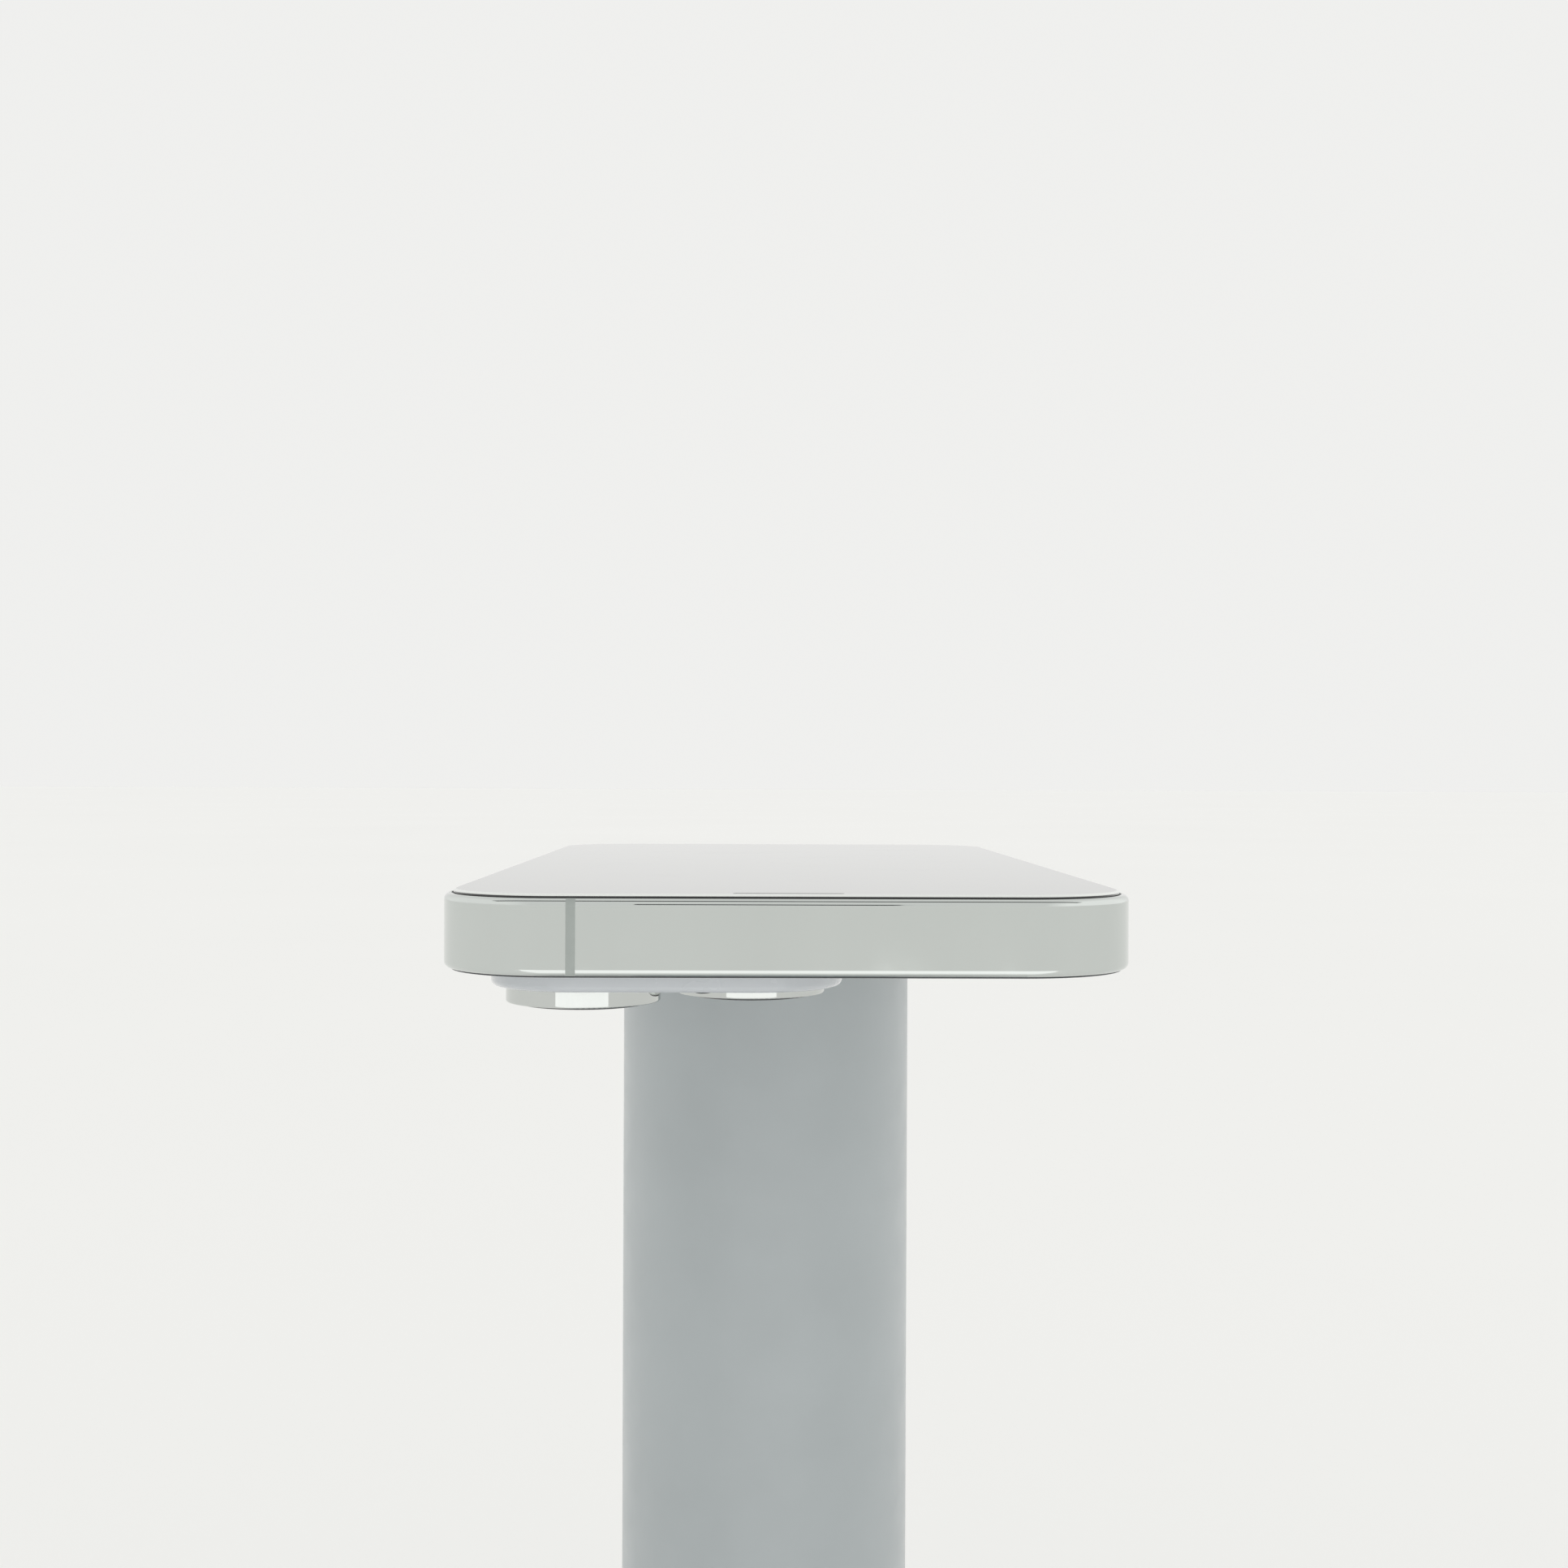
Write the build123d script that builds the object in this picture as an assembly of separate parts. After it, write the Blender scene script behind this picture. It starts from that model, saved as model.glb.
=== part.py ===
from build123d import *
import os

# A demonstration handset held flat on a round security post.
# Origin: centre of the face that rests on the counter. +Z up, millimetres.
# The handset's top end faces -Y, its screen faces +Z.

# ---- Stand, driving sizes ----
stand_height = 158.0            # counter to the handset's back
post_diameter = 38.1            # a one-and-a-half-inch tube
post_wall = 2.5
base_diameter = 104.0
base_height = 24.0
base_wall = 3.0
base_top_thickness = 5.0
base_edge_radius = 4.0
post_seat_depth = 1.0
foot_height = 1.5
foot_width = 9.0
foot_margin = 1.5
foot_groove_depth = 0.8
base_plate_thickness = 5.0
slip = 0.05                     # radial clearance of fits that slide or locate
gap = 0.3                       # air gap between parts that move past each other

# ---- Counter fixing ----
counter_bolt_circle = 84.0
counter_bolt_count = 3
counter_thread_radius = 2.5     # M5
cable_hole_radius = 5.0
cable_bore_radius = 3.5
cable_hole_offset = 33.0
counter_bolt_start = 90.0       # angle of the first bolt
grommet_lip = 1.2
grommet_lip_height = 1.0

# ---- Fasteners ----
m3_radius = 1.5
m4_radius = 2.0
cap_head_ratio = 1.75           # head radius over thread radius
cap_head_height_ratio = 2.0     # head height over thread radius
socket_ratio = 0.75
base_screw_circle = 92.0
base_screw_count = 3
base_screw_reach = 8.0
base_screw_start = 30.0         # angle of the first base screw
base_boss_radius = 4.0
post_screw_circle = 26.0
post_screw_count = 3
post_screw_reach = 8.0

# ---- Tether recoiler in the base ----
reel_radius = 26.0
reel_drum_radius = 21.5
reel_height = 7.8
reel_flange = 1.0
reel_hub_radius = 6.0
spindle_radius = 3.0
spindle_foot_radius = 7.0
spindle_foot_height = 1.0
reel_lift = 1.2
spring_outer_radius = 18.0
spring_height = 5.0
clip_radius = 5.0
clip_thickness = 0.8
clip_play = 0.1

# ---- Alarm electronics in the base ----
alarm_board_inner = 29.0
alarm_board_thickness = 1.6
alarm_board_sweep = 150.0
alarm_board_standoff = 2.0
standoff_radius = 1.6
standoff_angles = (210.0, 270.0, 330.0)
processor_angle = 215.0
processor_size = (7.0, 7.0, 1.2)
relay_angle = 245.0
relay_size = (8.0, 10.0, 4.5)
connector_angle = 328.0
connector_size = (7.0, 9.0, 5.0)
sounder_radius = 6.0
sounder_height = 5.5
sounder_hole_radius = 1.2
sounder_hole_depth = 1.0
sounder_edge = 0.6
sounder_angle = 285.0
backup_cell_size = (10.0, 22.0, 6.0)
backup_cell_radius = 36.0
backup_cell_angle = 60.0
cell_corner = 1.5                # also on the handset's battery

# ---- Post interior ----
post_foot_height = 14.0
tether_tube_outer = 4.0
tether_tube_inner = 2.8
broken_edge = 0.2               # chamfer on the tube's and the cup's rim

# ---- Dock and puck ----
dock_flange_thickness = 1.0
dock_floor_thickness = 3.0
dock_depth = 9.0
dock_wall = 2.2
puck_flange_thickness = 3.0
puck_radius = 18.5
puck_skin = 1.2
puck_edge = 0.5
adhesive_thickness = 1.0
adhesive_radius = 17.5
magnet_count = 6
magnet_radius = 2.0
magnet_height = 2.0
magnet_circle_radius = 11.2
puck_floor_gap = 1.0
puck_cover_thickness = 1.2
keeper_thickness = 1.0
keeper_inner = 9.0
contact_pin_count = 5
contact_pin_radius = 0.6
contact_pin_circle_radius = 6.6
pin_carrier_width = 3.0
pin_carrier_thickness = 0.8
dock_board_thickness = 1.6
contact_travel = 0.8
contact_ring_thickness = 0.5
contact_ring_width = 1.8
ferrule_radius = 2.2
ferrule_bore = 0.7
ferrule_rise = 1.0
puck_board_thickness = 1.0

# ---- Handset, driving sizes ----
handset_width = 70.6
handset_length = 146.6
handset_thickness = 8.25
handset_corner = 12.0
handset_offset_x = 1.7          # how far the handset's centre sits from the post's axis
frame_wall = 2.2
frame_edge = 0.65
screen_proud = 0.43
back_proud = 0.2
front_glass_thickness = 0.8
back_glass_thickness = 0.7
pocket_inset = 0.75
gasket_width = 0.2
gasket_recess = 0.1
back_gasket_recess = 0.05
glass_edge = 0.3
back_glass_edge = 0.15
display_thickness = 1.2
mid_plate_thickness = 0.4
display_clearance = 0.1

# ---- Antenna bands ----
antenna_width = 0.95
antenna_depth = 1.3
antenna_end_offset = 21.3
antenna_side_offset = 61.0

# ---- Rear cameras ----
deck_size = 36.5
deck_side_margin = 4.6
deck_top_margin = 4.25
deck_height = 1.85
deck_corner = 9.2
deck_edge = 0.65
lens_margin = 1.5
lens_ring_radius = 8.05
lens_ring_height = 1.75
lens_ring_edge = 0.2
lens_ring_gap = 0.12             # shadow gap between collar and deck
lens_glass_radius = 6.7
lens_glass_thickness = 0.9
lens_glass_proud = 0.27
lens_glass_edge = 0.15
lens_neck_radius = 7.3
lens_barrel_radius = 6.0
barrel_steps = 3
barrel_step_width = 1.1
barrel_step_depth = 0.6
sensor_size = 12.4
sensor_thickness = 1.2
small_window_radius = 3.2
small_window_offset = 12.6
flash_proud = 0.1

# ---- Front sensors and earpiece ----
island_share = 0.283            # of the handset's width
island_height = 5.4
island_from_top = 8.6
island_depth = 2.6
earpiece_size = (15.0, 3.0, 3.2)
earpiece_slot = (11.0, 0.6)
earpiece_slot_inset = 1.4       # from the glass's end

# ---- Buttons and tray ----
button_height = 2.7
button_proud = 0.35
button_clearance = 0.08
button_foot = 0.5
button_foot_lip = 0.3
button_travel = 0.25
button_edge = 0.2
side_button_length = 17.0
side_button_from_top = 46.0
volume_button_length = 10.5
volume_up_from_top = 44.0
volume_down_from_top = 58.0
ring_switch_length = 6.0
ring_switch_from_top = 30.5
ring_switch_height = 1.4
ring_switch_travel = 1.0
ring_switch_play = 0.8
switch_size = (1.6, 4.0)
switch_drop = 0.9
switch_gap = 0.1
tray_length = 15.5
tray_height = 2.5
tray_from_top = 82.0
tray_blade_thickness = 0.9
tray_blade_depth = 22.0
tray_blade_length = 13.0
card_size = (8.8, 12.3)
card_setback = 2.0              # from the bezel to the card's opening
tray_edge = 0.15
reader_wall = 0.25

# ---- Lower end ----
port_width = 9.0
port_height = 3.2
port_depth = 7.0
port_wall = 0.35
port_back = 1.0
port_recess = 0.2
port_tongue = (6.0, 0.7)
grille_hole_radius = 0.75
grille_pitch = 2.6
grille_count = 5
grille_start = 9.0
end_screw_radius = 0.9
end_screw_offset = 6.6
end_screw_length = 3.0

# ---- Handset interior ----
battery_length = 84.0
battery_thickness = 3.6
battery_y = 14.0
battery_side_gap = 2.9          # to the switch behind the wake button
battery_gap = 0.8               # to the logic board or the card reader
logic_board_length = 58.0
logic_board_thickness = 1.0
logic_board_y = -31.0
logic_board_camera_gap = 3.6
shield_margin = 4.0
shield_thickness = 1.6
shield_lengths = (22.0, 27.0)
shield_spacing = 3.0
coil_outer = 22.0
coil_inner = 12.0
coil_thickness = 0.4
speaker_length = 13.0
speaker_thickness = 3.6
speaker_y = 61.0
speaker_port_gap = 2.5
speaker_side_gap = 2.1
speaker_corner = 2.0

# ---- Worked-out levels and places ----
post_radius = post_diameter / 2
post_bore = post_radius - post_wall
base_radius = base_diameter / 2
base_inner = base_radius - base_wall
plate_bottom = foot_height - foot_groove_depth
foot_outer = base_inner - slip - foot_margin
plate_top = plate_bottom + base_plate_thickness
base_ceiling = base_height - base_top_thickness
post_bottom = base_height - post_seat_depth
puck_top = stand_height - adhesive_thickness
puck_flange_bottom = puck_top - puck_flange_thickness
dock_top = puck_flange_bottom
post_top = dock_top - dock_flange_thickness
dock_floor = dock_top - dock_depth
dock_underside = dock_floor - dock_floor_thickness
dock_inner = post_bore - dock_wall
puck_nose_radius = dock_inner - gap
puck_nose_bottom = dock_floor + puck_floor_gap
puck_inner = puck_nose_radius - puck_skin
puck_cover_top = puck_nose_bottom + puck_cover_thickness
keeper_top = puck_cover_top + keeper_thickness
reel_bottom = plate_top + reel_lift
reel_top = reel_bottom + reel_height
clip_bottom = reel_top + clip_play
clip_top = clip_bottom + clip_thickness
alarm_board_outer = base_screw_circle / 2 - base_boss_radius - gap
alarm_board_bottom = plate_top + alarm_board_standoff
alarm_board_top = alarm_board_bottom + alarm_board_thickness
alarm_board_middle = (alarm_board_inner + alarm_board_outer) / 2
back_z = 0.0
interior_bottom = back_glass_thickness
glass_bottom = handset_thickness - front_glass_thickness
frame_bottom = back_proud
frame_top = handset_thickness - screen_proud
glass_inset = pocket_inset + gasket_width
display_bottom = glass_bottom - display_thickness
mid_plate_bottom = display_bottom - mid_plate_thickness
lens_barrel_top = mid_plate_bottom - sensor_thickness
half_width = handset_width / 2
half_length = handset_length / 2
band_inner = half_width - frame_wall
mid_z = handset_thickness / 2
button_inner = band_inner - button_foot - 2 * button_travel
switch_inner = button_inner - switch_gap - switch_size[0]
deck_x = -half_width + deck_side_margin + deck_size / 2
deck_y = -half_length + deck_top_margin + deck_size / 2
deck_bottom = -deck_height
ring_bottom = deck_bottom - lens_ring_height
lens_step = deck_size / 2 - lens_margin - lens_ring_radius
lens_places = (
    (deck_x - lens_step, deck_y - lens_step),
    (deck_x - lens_step, deck_y + lens_step),
    (deck_x + lens_step, deck_y),
)
window_x = deck_x + lens_step
island_width = handset_width * island_share
reader_depth = tray_blade_depth + gap
logic_board_left = deck_x + lens_step + sensor_size / 2 + logic_board_camera_gap
logic_board_right = switch_inner - gap
logic_board_width = logic_board_right - logic_board_left
logic_board_x = (logic_board_left + logic_board_right) / 2
battery_left = battery_side_gap - switch_inner
battery_right = min(band_inner - reader_depth, logic_board_left) - battery_gap
speaker_left = port_width / 2 + speaker_port_gap
speaker_right = band_inner - speaker_side_gap
BOTTOM = (Align.CENTER, Align.CENTER, Align.MIN)
TOP = (Align.CENTER, Align.CENTER, Align.MAX)


# ---- Shared shapes ----
def disc(radius, bottom, top):
    """Upright cylinder on the Z axis between two levels."""
    return Pos(0, 0, bottom) * Cylinder(radius, top - bottom, align=BOTTOM)


def ring(outer, inner, bottom, top):
    """Upright tube on the Z axis between two levels."""
    return disc(outer, bottom, top) - disc(inner, bottom, top)


def around(shape, count, radius, start=0.0):
    """Copies of a shape spaced evenly on a circle about the Z axis."""
    places = []
    for index in range(count):
        angle = start + 360.0 * index / count
        places.append(Rot(0, 0, angle) * Pos(radius, 0, 0) * shape)
    return places


def slab(inset, bottom, top):
    """Rounded plate that follows the handset's outline, inset from its sides."""
    width = handset_width - 2 * inset
    length = handset_length - 2 * inset
    outline = RectangleRounded(width, length, handset_corner - inset)
    return Pos(0, 0, bottom) * extrude(outline, top - bottom)


def slot(length, height, depth):
    """Stadium prism along X, its long side along Y, centred on the origin."""
    outline = Plane.YZ * SlotOverall(length, height)
    return Pos(-depth / 2, 0, 0) * extrude(outline, depth)


def block(size, place, bottom):
    """Box of a given size with its foot at a level."""
    return Pos(place[0], place[1], bottom) * Box(*size, align=BOTTOM)


def soften(shape, axis, index, radius):
    """Round the edges in the first or last group along an axis."""
    return fillet(shape.edges().group_by(axis)[index], radius)


def cap_screw(radius, reach):
    """Socket cap screw pointing up, the underside of its head at the origin."""
    head_radius = radius * cap_head_ratio
    head_height = radius * cap_head_height_ratio
    head = Cylinder(head_radius, head_height, align=TOP)
    socket = extrude(RegularPolygon(radius * socket_ratio, 6), head_height / 2)
    screw = head + Cylinder(radius, reach, align=BOTTOM)
    return screw - Pos(0, 0, -head_height) * socket


def save(name, shape):
    """Write one node, in the object's own frame."""
    export_step(shape, "parts/" + name + ".step")


def save_handset(name, shape):
    """Write one node of the handset, moved from its own frame to the top of the post."""
    save(name, Pos(handset_offset_x, 0, stand_height) * shape)


# ---- Base ----
def counter_bolt_places(shape):
    """The places where screws come up through the counter."""
    return around(shape, counter_bolt_count, counter_bolt_circle / 2, counter_bolt_start)


def base_screw_places(shape):
    """The places where the plate is screwed to the cover."""
    return around(shape, base_screw_count, base_screw_circle / 2, base_screw_start)


def base_plate():
    """Steel weight plate with a groove for the foot, seats for screws and a cable hole."""
    radius = base_inner - slip
    plate = disc(radius, plate_bottom, plate_top)
    groove_inner = foot_outer - foot_width
    plate -= ring(foot_outer, groove_inner, plate_bottom, foot_height)
    plate -= counter_bolt_places(disc(counter_thread_radius, plate_bottom, plate_top))
    head = disc(m3_radius * cap_head_ratio + slip, plate_bottom, screw_seat_z())
    shank = disc(m3_radius + slip, plate_bottom, plate_top)
    plate -= base_screw_places(head)
    plate -= base_screw_places(shank)
    plate -= Pos(0, cable_hole_offset, 0) * disc(cable_hole_radius, plate_bottom, plate_top)
    return plate - disc(spindle_radius + slip, plate_bottom, plate_top)


def screw_seat_z():
    """Level of the seats of the base screws, sunk in the plate."""
    return plate_bottom + m3_radius * cap_head_height_ratio + gap


def foot_ring():
    """Rubber ring, glued in the plate's groove, that rests on the counter."""
    foot = ring(foot_outer - slip, foot_outer - foot_width + slip, 0, foot_height)
    relief = disc(m3_radius * cap_head_ratio + gap, 0, foot_height)
    foot -= base_screw_places(relief)
    bolt_relief = disc(counter_thread_radius + gap, 0, foot_height)
    return foot - counter_bolt_places(bolt_relief)


def base_cover():
    """Turned cover with a rounded shoulder, a seat for the post and screw bosses."""
    cover = soften(disc(base_radius, plate_bottom, base_height), Axis.Z, -1, base_edge_radius)
    cover -= disc(base_inner, plate_bottom, base_ceiling)
    boss = disc(base_boss_radius, plate_top, base_ceiling)
    rim = disc(base_inner, plate_top, base_ceiling)
    for place in base_screw_places(boss):
        cover += place & rim
    cover -= base_screw_places(disc(m3_radius, plate_top, plate_top + base_screw_reach))
    cover -= disc(post_radius + slip, post_bottom, base_height)
    cover -= disc(tether_tube_outer + slip, base_ceiling, base_height)
    clearance = disc(m4_radius + slip, base_ceiling, base_height)
    return cover - around(clearance, post_screw_count, post_screw_circle / 2)


def base_screws():
    """Three cap screws that hold the plate in the cover."""
    screw = cap_screw(m3_radius, plate_top + base_screw_reach - screw_seat_z())
    return Compound(children=base_screw_places(Pos(0, 0, screw_seat_z()) * screw))


def cable_grommet():
    """Rubber grommet that lines the cable hole of the plate."""
    grommet = disc(cable_hole_radius, plate_bottom, plate_top)
    lip_top = plate_top + grommet_lip_height
    grommet += disc(cable_hole_radius + grommet_lip, plate_top, lip_top)
    grommet -= disc(cable_bore_radius, plate_bottom, lip_top)
    return Pos(0, cable_hole_offset, 0) * grommet


# ---- Tether recoiler ----
def reel_spindle():
    """Steel spindle in the plate, with the collar that the reel's spring lies on."""
    spindle = disc(spindle_radius, plate_bottom, clip_top + clip_play)
    return spindle + disc(spindle_foot_radius, plate_top, plate_top + spindle_foot_height)


def reel_clip():
    """Spring clip pushed on the spindle above the reel."""
    return ring(clip_radius, spindle_radius, clip_bottom, clip_top)


def reel_drum():
    """Flanged drum for the tether, hollow below for the coiled spring."""
    drum = disc(reel_radius, reel_bottom, reel_top)
    drum -= ring(reel_radius, reel_drum_radius, reel_bottom + reel_flange, reel_top - reel_flange)
    pocket_top = reel_bottom + spring_height + gap
    drum -= ring(spring_outer_radius + gap, reel_hub_radius, reel_bottom, pocket_top)
    return drum - disc(spindle_radius + slip, reel_bottom, reel_top)


def reel_spring():
    """Flat coil spring pack that winds the reel back."""
    bottom = plate_top + spindle_foot_height
    return ring(spring_outer_radius, reel_hub_radius + gap, bottom, bottom + spring_height)


# ---- Alarm electronics ----
def sector(inner, outer, bottom, top, sweep):
    """Part of a ring, centred on the -Y side."""
    start = 270 - sweep / 2
    wedge = ring(outer, inner, bottom, top)
    reach = outer * 2
    cutter = Pos(0, 0, bottom) * Box(reach * 2, reach, top - bottom, align=BOTTOM)
    first = Rot(0, 0, start) * Pos(0, -reach / 2, 0) * cutter
    last = Rot(0, 0, start + sweep) * Pos(0, reach / 2, 0) * cutter
    return wedge - first - last


def alarm_board():
    """Curved circuit board on three posts round the front of the reel."""
    levels = (alarm_board_bottom, alarm_board_top)
    board = sector(alarm_board_inner, alarm_board_outer, *levels, alarm_board_sweep)
    for angle in standoff_angles:
        post = disc(standoff_radius, plate_top, alarm_board_bottom)
        board += Rot(0, 0, angle) * Pos(alarm_board_middle, 0, 0) * post
    return board


def board_component(angle, size):
    """Box standing on the curved board at an angle."""
    place = Rot(0, 0, angle) * Pos(alarm_board_middle, 0, alarm_board_top)
    return place * Box(*size, align=BOTTOM)


def board_components():
    """Processor, relay and connector on the alarm board."""
    parts = [
        board_component(processor_angle, processor_size),
        board_component(relay_angle, relay_size),
        board_component(connector_angle, connector_size),
    ]
    return Compound(children=parts)


def sounder():
    """Round sounder on the board with a sound hole in its top."""
    top = alarm_board_top + sounder_height
    can = soften(disc(sounder_radius, alarm_board_top, top), Axis.Z, -1, sounder_edge)
    can -= disc(sounder_hole_radius, top - sounder_hole_depth, top)
    return Rot(0, 0, sounder_angle) * Pos(alarm_board_middle, 0, 0) * can


def backup_cell():
    """Flat rechargeable cell beside the reel."""
    cell = Pos(backup_cell_radius, 0, plate_top) * Box(*backup_cell_size, align=BOTTOM)
    return Rot(0, 0, backup_cell_angle) * fillet(cell.edges().filter_by(Axis.Z), cell_corner)


# ---- Post ----
def post_tube():
    """Straight round tube, its ends lightly broken."""
    tube = ring(post_radius, post_bore, post_bottom, post_top)
    return chamfer(tube.edges().group_by(Axis.Z)[-1], broken_edge)


def post_foot():
    """Plug inside the tube that the base is screwed to."""
    top = post_bottom + post_foot_height
    plug = ring(post_bore - slip, tether_tube_outer + slip, post_bottom, top)
    thread = disc(m4_radius, post_bottom, post_bottom + post_screw_reach)
    return plug - around(thread, post_screw_count, post_screw_circle / 2)


def post_screws():
    """Three cap screws, up through the cover into the post's plug."""
    reach = post_bottom + post_screw_reach - base_ceiling
    screw = Pos(0, 0, base_ceiling) * cap_screw(m4_radius, reach)
    return Compound(children=around(screw, post_screw_count, post_screw_circle / 2))


def tether_tube():
    """Plastic guide tube for the tether, from the base to the dock."""
    return ring(tether_tube_outer, tether_tube_inner, base_ceiling, dock_underside)


# ---- Dock ----
def dock_cup():
    """Cup in the post's top with a flush flange, pockets for magnets and slots for pins."""
    cup = disc(post_bore - slip, dock_underside, dock_top)
    cup += disc(post_radius, post_top, dock_top)
    cup -= disc(dock_inner, dock_floor, dock_top)
    pocket = disc(magnet_radius + slip, dock_floor - magnet_height, dock_floor)
    cup -= around(pocket, magnet_count, magnet_circle_radius)
    bore = disc(contact_pin_radius + slip, dock_underside, dock_floor)
    cup -= around(bore, contact_pin_count, contact_pin_circle_radius)
    cup -= disc(tether_tube_inner, dock_underside, dock_floor)
    return chamfer(cup.edges().group_by(Axis.Z)[-1], broken_edge)


def dock_magnets():
    """Disc magnets flush with the floor of the cup."""
    magnet = disc(magnet_radius, dock_floor - magnet_height, dock_floor)
    return Compound(children=around(magnet, magnet_count, magnet_circle_radius))


def contact_pins():
    """Sprung charging pins, joined by the carrier that they are moulded in."""
    top = puck_nose_bottom
    carrier_top = dock_underside - gap
    bottom = carrier_top - pin_carrier_thickness
    outer = contact_pin_circle_radius + pin_carrier_width / 2
    pins = ring(outer, outer - pin_carrier_width, bottom, carrier_top)
    pin = disc(contact_pin_radius, bottom, top)
    for place in around(pin, contact_pin_count, contact_pin_circle_radius):
        pins += place
    return pins


def dock_board():
    """Round circuit board clipped under the cup, behind the pins."""
    top = dock_underside - pin_carrier_thickness - contact_travel - 2 * gap
    bottom = top - dock_board_thickness
    return ring(post_bore - slip, tether_tube_outer + slip, bottom, top)


# ---- Puck ----
def puck_shell():
    """Puck that is glued to the handset, with the nose that sits in the cup."""
    shell = disc(puck_radius, puck_flange_bottom, puck_top)
    shell = soften(shell, Axis.Z, -1, puck_edge)
    nose = disc(puck_nose_radius, puck_nose_bottom, puck_flange_bottom)
    shell += chamfer(nose.edges().group_by(Axis.Z)[0], puck_edge)
    hollow = disc(puck_inner, puck_nose_bottom, puck_top - puck_skin)
    return shell - hollow


def puck_cover():
    """Round plate that closes the nose from below, with a hole for the tether."""
    cover = disc(puck_inner - slip, puck_nose_bottom, puck_cover_top)
    cover -= contact_ring()
    return cover - disc(ferrule_radius, puck_nose_bottom, puck_cover_top)


def contact_ring():
    """Gold ring let into the puck's underside, that the pins press on."""
    inner = contact_pin_circle_radius - contact_ring_width / 2
    outer = contact_pin_circle_radius + contact_ring_width / 2
    return ring(outer, inner, puck_nose_bottom, puck_nose_bottom + contact_ring_thickness)


def puck_keeper():
    """Steel ring above the cover that the dock's magnets pull on."""
    return ring(puck_inner - slip, keeper_inner, puck_cover_top, keeper_top)


def puck_board():
    """Circuit board in the puck, above the keeper."""
    top = keeper_top + puck_board_thickness
    return ring(puck_inner - slip, ferrule_radius, keeper_top, top)


def tether_ferrule():
    """Crimped ferrule that anchors the end of the tether in the puck."""
    top = keeper_top + puck_board_thickness + ferrule_rise
    return ring(ferrule_radius, ferrule_bore, puck_nose_bottom, top)


def adhesive_pad():
    """Foam adhesive disc between the puck and the handset."""
    return disc(adhesive_radius, puck_top, stand_height)


# ---- Handset casing ----
def frame_blank():
    """The band's outer form with both edges rounded, before anything is cut."""
    blank = slab(0, frame_bottom, frame_top)
    blank = soften(blank, Axis.Z, -1, frame_edge)
    return soften(blank, Axis.Z, 0, frame_edge)


def antenna_cutters():
    """Upright slices where plastic bands interrupt the metal."""
    end_slice = Box(antenna_width, 2 * antenna_depth, 3 * handset_thickness)
    side_slice = Box(2 * antenna_depth, antenna_width, 3 * handset_thickness)
    cutters = [
        Pos(-antenna_end_offset, -half_length, 0) * end_slice,
        Pos(antenna_end_offset, half_length, 0) * end_slice,
    ]
    for side in (-1, 1):
        for end in (-1, 1):
            cutters.append(Pos(side * half_width, end * antenna_side_offset, 0) * side_slice)
    return cutters


def glass_pocket(bottom, top):
    """Space in the band for a sheet of glass and its gasket."""
    return slab(pocket_inset, bottom, top)


def frame_hollow():
    """The casing with its inside and both glass pockets cut out."""
    band = frame_blank()
    band -= slab(frame_wall, frame_bottom, frame_top)
    band -= glass_pocket(glass_bottom, frame_top)
    return band - glass_pocket(frame_bottom, back_glass_thickness)


def side_hole(length, height, from_top, side):
    """Stadium hole through a long side of the band."""
    tool = slot(length, height, 4 * frame_wall)
    return Pos(side * half_width, from_top - half_length, mid_z) * tool


def phone_frame():
    """Polished band with holes for buttons, tray, port, screws and sound."""
    band = frame_hollow()
    band -= antenna_cutters()
    grown = 2 * button_clearance
    height = button_height + grown
    band -= side_hole(side_button_length + grown, height, side_button_from_top, -1)
    band -= side_hole(volume_button_length + grown, height, volume_up_from_top, 1)
    band -= side_hole(volume_button_length + grown, height, volume_down_from_top, 1)
    band -= side_hole(ring_switch_length + grown, height, ring_switch_from_top, 1)
    band -= side_hole(tray_length + grown, tray_height + grown, tray_from_top, 1)
    end = Pos(0, half_length, mid_z) * Rot(0, 0, 90)
    band -= end * slot(port_width, port_height, 4 * frame_wall)
    for side in (-1, 1):
        band -= end * Pos(0, side * end_screw_offset, 0) * slot_round(end_screw_radius)
        for index in range(grille_count):
            offset = side * (grille_start + index * grille_pitch)
            band -= end * Pos(0, offset, 0) * slot_round(grille_hole_radius)
    return band


def slot_round(radius):
    """Round hole tool along X, centred on the origin."""
    return Rot(0, 90, 0) * Cylinder(radius, 4 * frame_wall)


def antenna_bands():
    """Plastic fillings of the band's slices, flush with the metal."""
    band = frame_hollow()
    pieces = []
    for cutter in antenna_cutters():
        pieces.append((band & cutter).solids()[0])
    return Compound(children=pieces)


def front_glass():
    """Cover glass with a rounded rim and the earpiece slot."""
    glass = slab(glass_inset, glass_bottom, handset_thickness)
    glass = soften(glass, Axis.Z, -1, glass_edge)
    return glass - earpiece_opening(glass_bottom, handset_thickness)


def gasket(bottom, top):
    """Thin sealing frame round a sheet of glass."""
    return slab(pocket_inset, bottom, top) - slab(glass_inset, bottom, top)


def glass_gaskets():
    """Seals round the front and the back glass, each a little behind the glass's face."""
    front = gasket(glass_bottom, frame_top - gasket_recess)
    back = gasket(back_z + back_gasket_recess, back_glass_thickness)
    return Compound(children=[front, back])


def lens_holes(radius, bottom, top):
    """Round tools at the three camera places."""
    tools = []
    for place in lens_places:
        tools.append(Pos(place[0], place[1], 0) * disc(radius, bottom, top))
    return tools


def window_places(shape):
    """The flash and the depth sensor, beside the third camera."""
    places = []
    for side in (-1, 1):
        places.append(Pos(window_x, deck_y + side * small_window_offset, 0) * shape)
    return places


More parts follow.
